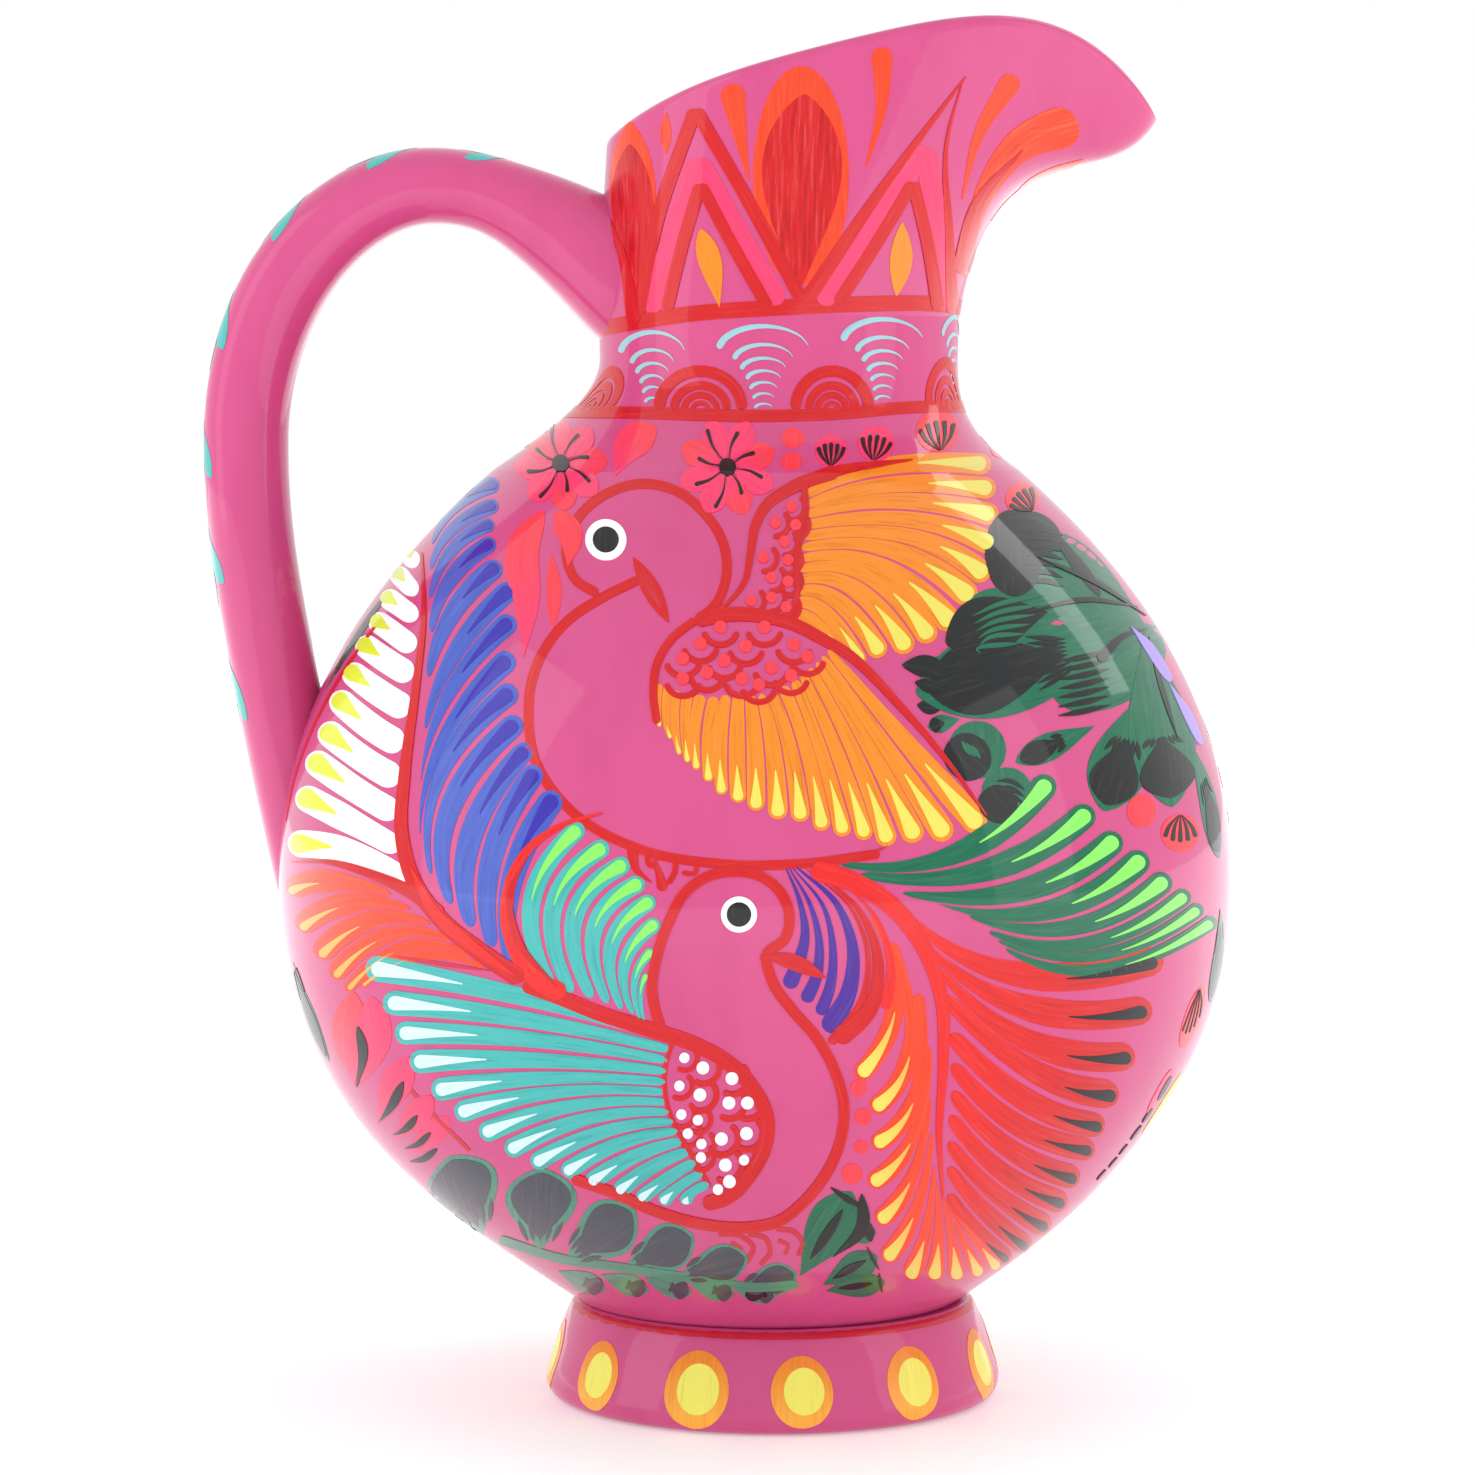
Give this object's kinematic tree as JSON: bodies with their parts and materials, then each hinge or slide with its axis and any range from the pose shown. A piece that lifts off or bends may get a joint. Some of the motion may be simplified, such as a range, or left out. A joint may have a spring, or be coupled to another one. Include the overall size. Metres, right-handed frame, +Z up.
{
  "type": "clay pitcher",
  "caption": "Round-bellied clay pitcher on a foot ring, with a narrow neck, a slanted mouth drawn into a beak spout and a looped strap handle, painted and varnished.",
  "frame": {"origin": "centre of the foot ring's underside, on the surface that the pitcher stands on", "axes": "+Z up, +X towards the beak of the spout, -X towards the handle, and the painted front faces -Y"},
  "size_m": [0.2051, 0.1906, 0.2738],
  "materials": {
    "painted_clay": "gloss",
    "bare_clay": "matte",
    "brush_paint": "gloss"
  },
  "bodies": {
    "root": {"foot_ring": "painted_clay", "foot_joint_coil": "bare_clay", "lower_bowl": "painted_clay", "seam_coil": "bare_clay", "upper_bowl": "painted_clay", "neck_collar": "painted_clay", "spout": "painted_clay", "handle": "painted_clay", "handle_top_joint": "painted_clay", "handle_bottom_joint": "painted_clay"}
  },
  "joints": []
}
